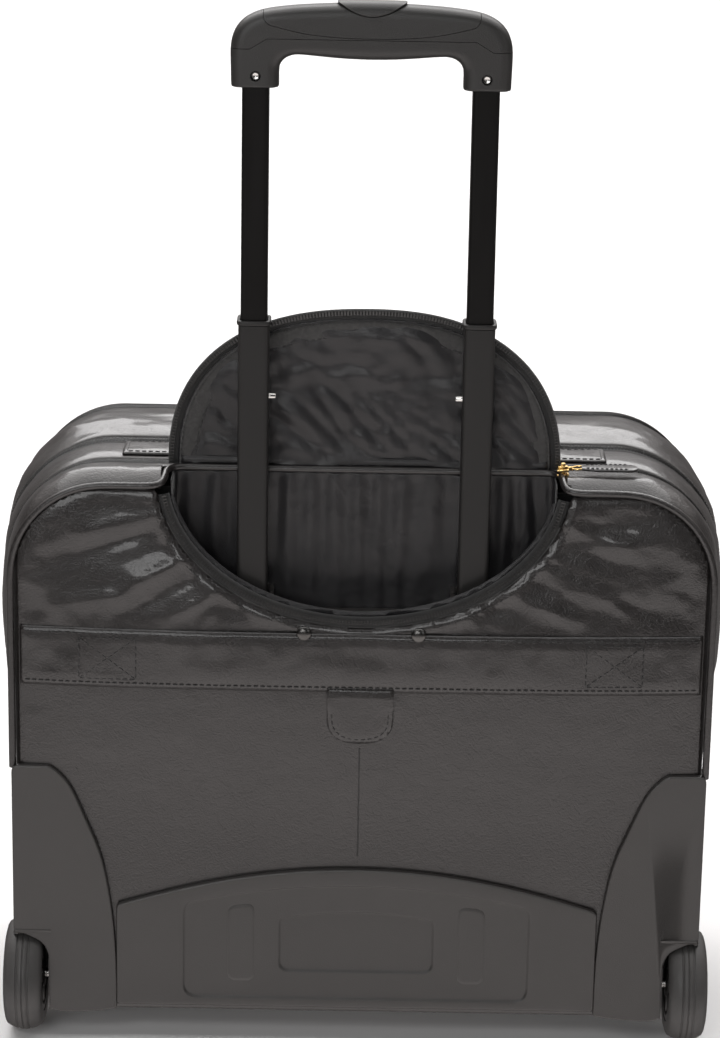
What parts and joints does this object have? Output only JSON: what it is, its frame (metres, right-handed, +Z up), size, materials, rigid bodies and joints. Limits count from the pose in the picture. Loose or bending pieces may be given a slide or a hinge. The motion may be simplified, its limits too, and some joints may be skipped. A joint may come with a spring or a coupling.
{
  "type": "rolling laptop case",
  "caption": "Leather rolling laptop case with a two-stage pull handle in a zipped bay, zipped compartments, moulded base guards and corner wheels.",
  "frame": {"origin": "centre of the bounding box, on the floor under the wheels and feet", "axes": "+Z up along the pull handle, +X to the right seen from the rear, +Y towards the front panel; the wheels and pull handle are at the rear, -Y"},
  "size_m": [0.4576, 0.2099, 0.6588],
  "materials": {
    "leather": "satin-glossy grained leather",
    "lining": "satin weave",
    "tape": "woven zip tape with coil",
    "plastic": "fine moulded texture",
    "tube_satin": "satin dark",
    "tube_black": "semi-gloss black",
    "steel": "bright plated",
    "brass": "polished gold-coloured",
    "rubber": "moulded",
    "board": "fabric-covered board"
  },
  "bodies": {
    "case": {"rear_panel": "leather", "rear_gusset": "leather", "laptop_zip_rear": "tape", "lower_tray": "leather", "rear_board": "board", "laptop_divider": "board", "front_divider": "board", "bay_lining": "lining", "bay_zip": "tape", "rear_piping": "leather", "bay_slider": "brass", "rear_band": "leather", "band_tab": "leather", "snap_left": "steel", "snap_right": "steel", "base_plate": "plastic", "wheel_guard_left": "plastic", "wheel_guard_right": "plastic", "axle_left": "steel", "axle_right": "steel", "front_foot_left": "rubber", "front_foot_right": "rubber", "tube_bracket": "plastic", "fixed_tube_left": "tube_satin", "fixed_tube_right": "tube_satin"},
    "middle_section": {"laptop_zip_front": "tape", "middle_gusset": "leather", "main_zip_rear": "tape", "top_patch": "leather"},
    "front_section": {"main_zip_front": "tape", "front_gusset": "leather", "front_zip_rear": "tape"},
    "front_lid": {"front_zip_front": "tape", "front_panel": "leather"},
    "lower_stage": {"lower_tube_left": "tube_satin", "lower_tube_right": "tube_satin", "lower_collar_left": "plastic", "lower_collar_right": "plastic", "lock_pin_left": "steel", "lock_pin_right": "steel"},
    "upper_stage": {"inner_tube_left": "tube_black", "inner_tube_right": "tube_black", "grip_shell": "plastic", "grip_cover": "plastic", "grip_screw_left": "steel", "grip_screw_right": "steel"},
    "button": {"release_button": "plastic", "push_fork": "tube_black"},
    "trolley_flap": {"flap_panel": "leather", "flap_lining": "lining", "flap_zip": "tape"},
    "zip_puller": {"bay_puller": "leather"},
    "handle": {"carry_handle": "leather"},
    "left_wheel": {"tyre_left": "rubber", "hub_left": "plastic"},
    "right_wheel": {"tyre_right": "rubber", "hub_right": "plastic"},
    "laptop_slider": {"laptop_zip_slider": "brass"},
    "main_slider": {"main_zip_slider": "brass"},
    "front_slider": {"front_zip_slider": "brass"}
  },
  "joints": [
    {"name": "lower_stage_slide", "type": "slide", "parent": "case", "child": "lower_stage", "axis": [0, 0, 1], "range_m": [-0.156, 0]},
    {"name": "upper_stage_slide", "type": "slide", "parent": "lower_stage", "child": "upper_stage", "axis": [0, 0, 1], "range_m": [-0.1395, 0]},
    {"name": "button_press", "type": "slide", "parent": "upper_stage", "child": "button", "axis": [0, 0, -1], "range_m": [0, 0.004], "stiffness_N_per_m": 500, "springref_m": -0.006},
    {"name": "flap_fold", "type": "hinge", "parent": "case", "child": "trolley_flap", "pos_m": [0, -0.0508, 0.37], "axis": [-1, 0, 0], "range_deg": [0, 45]},
    {"name": "puller_swing", "type": "hinge", "parent": "case", "child": "zip_puller", "pos_m": [0.1289, -0.0605, 0.3734], "axis": [0, -1, 0], "range_deg": [0, 90]},
    {"name": "laptop_opening", "type": "hinge", "parent": "case", "child": "middle_section", "pos_m": [0, 0.105, 0.175], "axis": [-1, 0, 0], "range_deg": [0, 10]},
    {"name": "main_opening", "type": "hinge", "parent": "middle_section", "child": "front_section", "pos_m": [0, 0.105, 0.175], "axis": [-1, 0, 0], "range_deg": [0, 15]},
    {"name": "front_opening", "type": "hinge", "parent": "front_section", "child": "front_lid", "pos_m": [0, 0.105, 0.175], "axis": [-1, 0, 0], "range_deg": [0, 45]},
    {"name": "handle_fold", "type": "hinge", "parent": "middle_section", "child": "handle", "pos_m": [0, -0.019, 0.3782], "axis": [-1, 0, 0], "range_deg": [-90, 0]},
    {"name": "left_wheel_spin", "type": "hinge", "parent": "case", "child": "left_wheel", "pos_m": [-0.2097, -0.069, 0.036], "axis": [1, 0, 0], "continuous": true},
    {"name": "right_wheel_spin", "type": "hinge", "parent": "case", "child": "right_wheel", "pos_m": [0.2097, -0.069, 0.036], "axis": [1, 0, 0], "continuous": true},
    {"name": "laptop_zip_run", "type": "slide", "parent": "case", "child": "laptop_slider", "axis": [1, 0, 0], "range_m": [-0.06, 0.19]},
    {"name": "main_zip_run", "type": "slide", "parent": "middle_section", "child": "main_slider", "axis": [1, 0, 0], "range_m": [0, 0.045]},
    {"name": "front_zip_run", "type": "slide", "parent": "front_section", "child": "front_slider", "axis": [1, 0, 0], "range_m": [-0.15, 0.09]}
  ]
}
